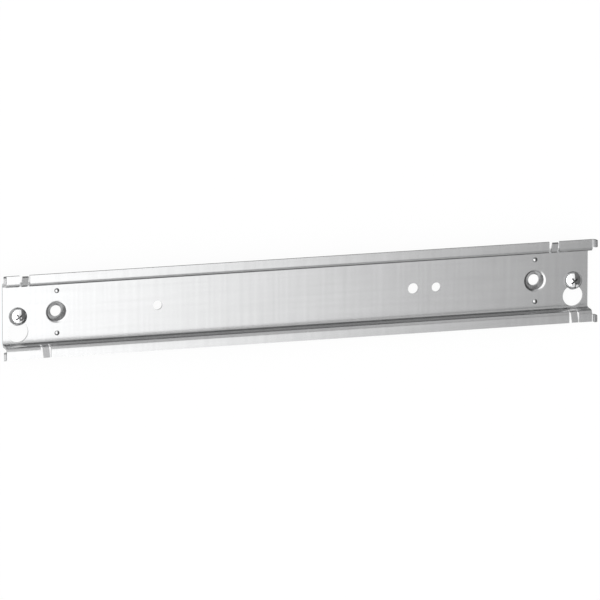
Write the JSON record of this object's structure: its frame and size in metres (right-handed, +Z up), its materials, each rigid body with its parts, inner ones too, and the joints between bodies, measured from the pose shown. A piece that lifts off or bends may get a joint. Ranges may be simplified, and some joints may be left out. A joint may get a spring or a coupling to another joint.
{
  "type": "din rail",
  "caption": "Top-hat mounting rail 35 mm wide, cut to length for an enclosure, with keyholes and their screws, dished screw holes, plain holes, lip tabs and bent end lugs.",
  "frame": {"origin": "middle of the rail in plan, on the level it lies on, which the rims of the two dished holes touch", "axes": "+X along the rail, +Y across it, +Z up out of the open side of the channel"},
  "size_m": [0.2554, 0.035, 0.0113],
  "materials": {
    "zinc_sheet": "bright zinc plated, satin",
    "zinc_screw": "bright zinc plated, polished"
  },
  "bodies": {
    "root": {"rail": "zinc_sheet", "screw_left": "zinc_screw", "screw_right": "zinc_screw"}
  },
  "joints": []
}
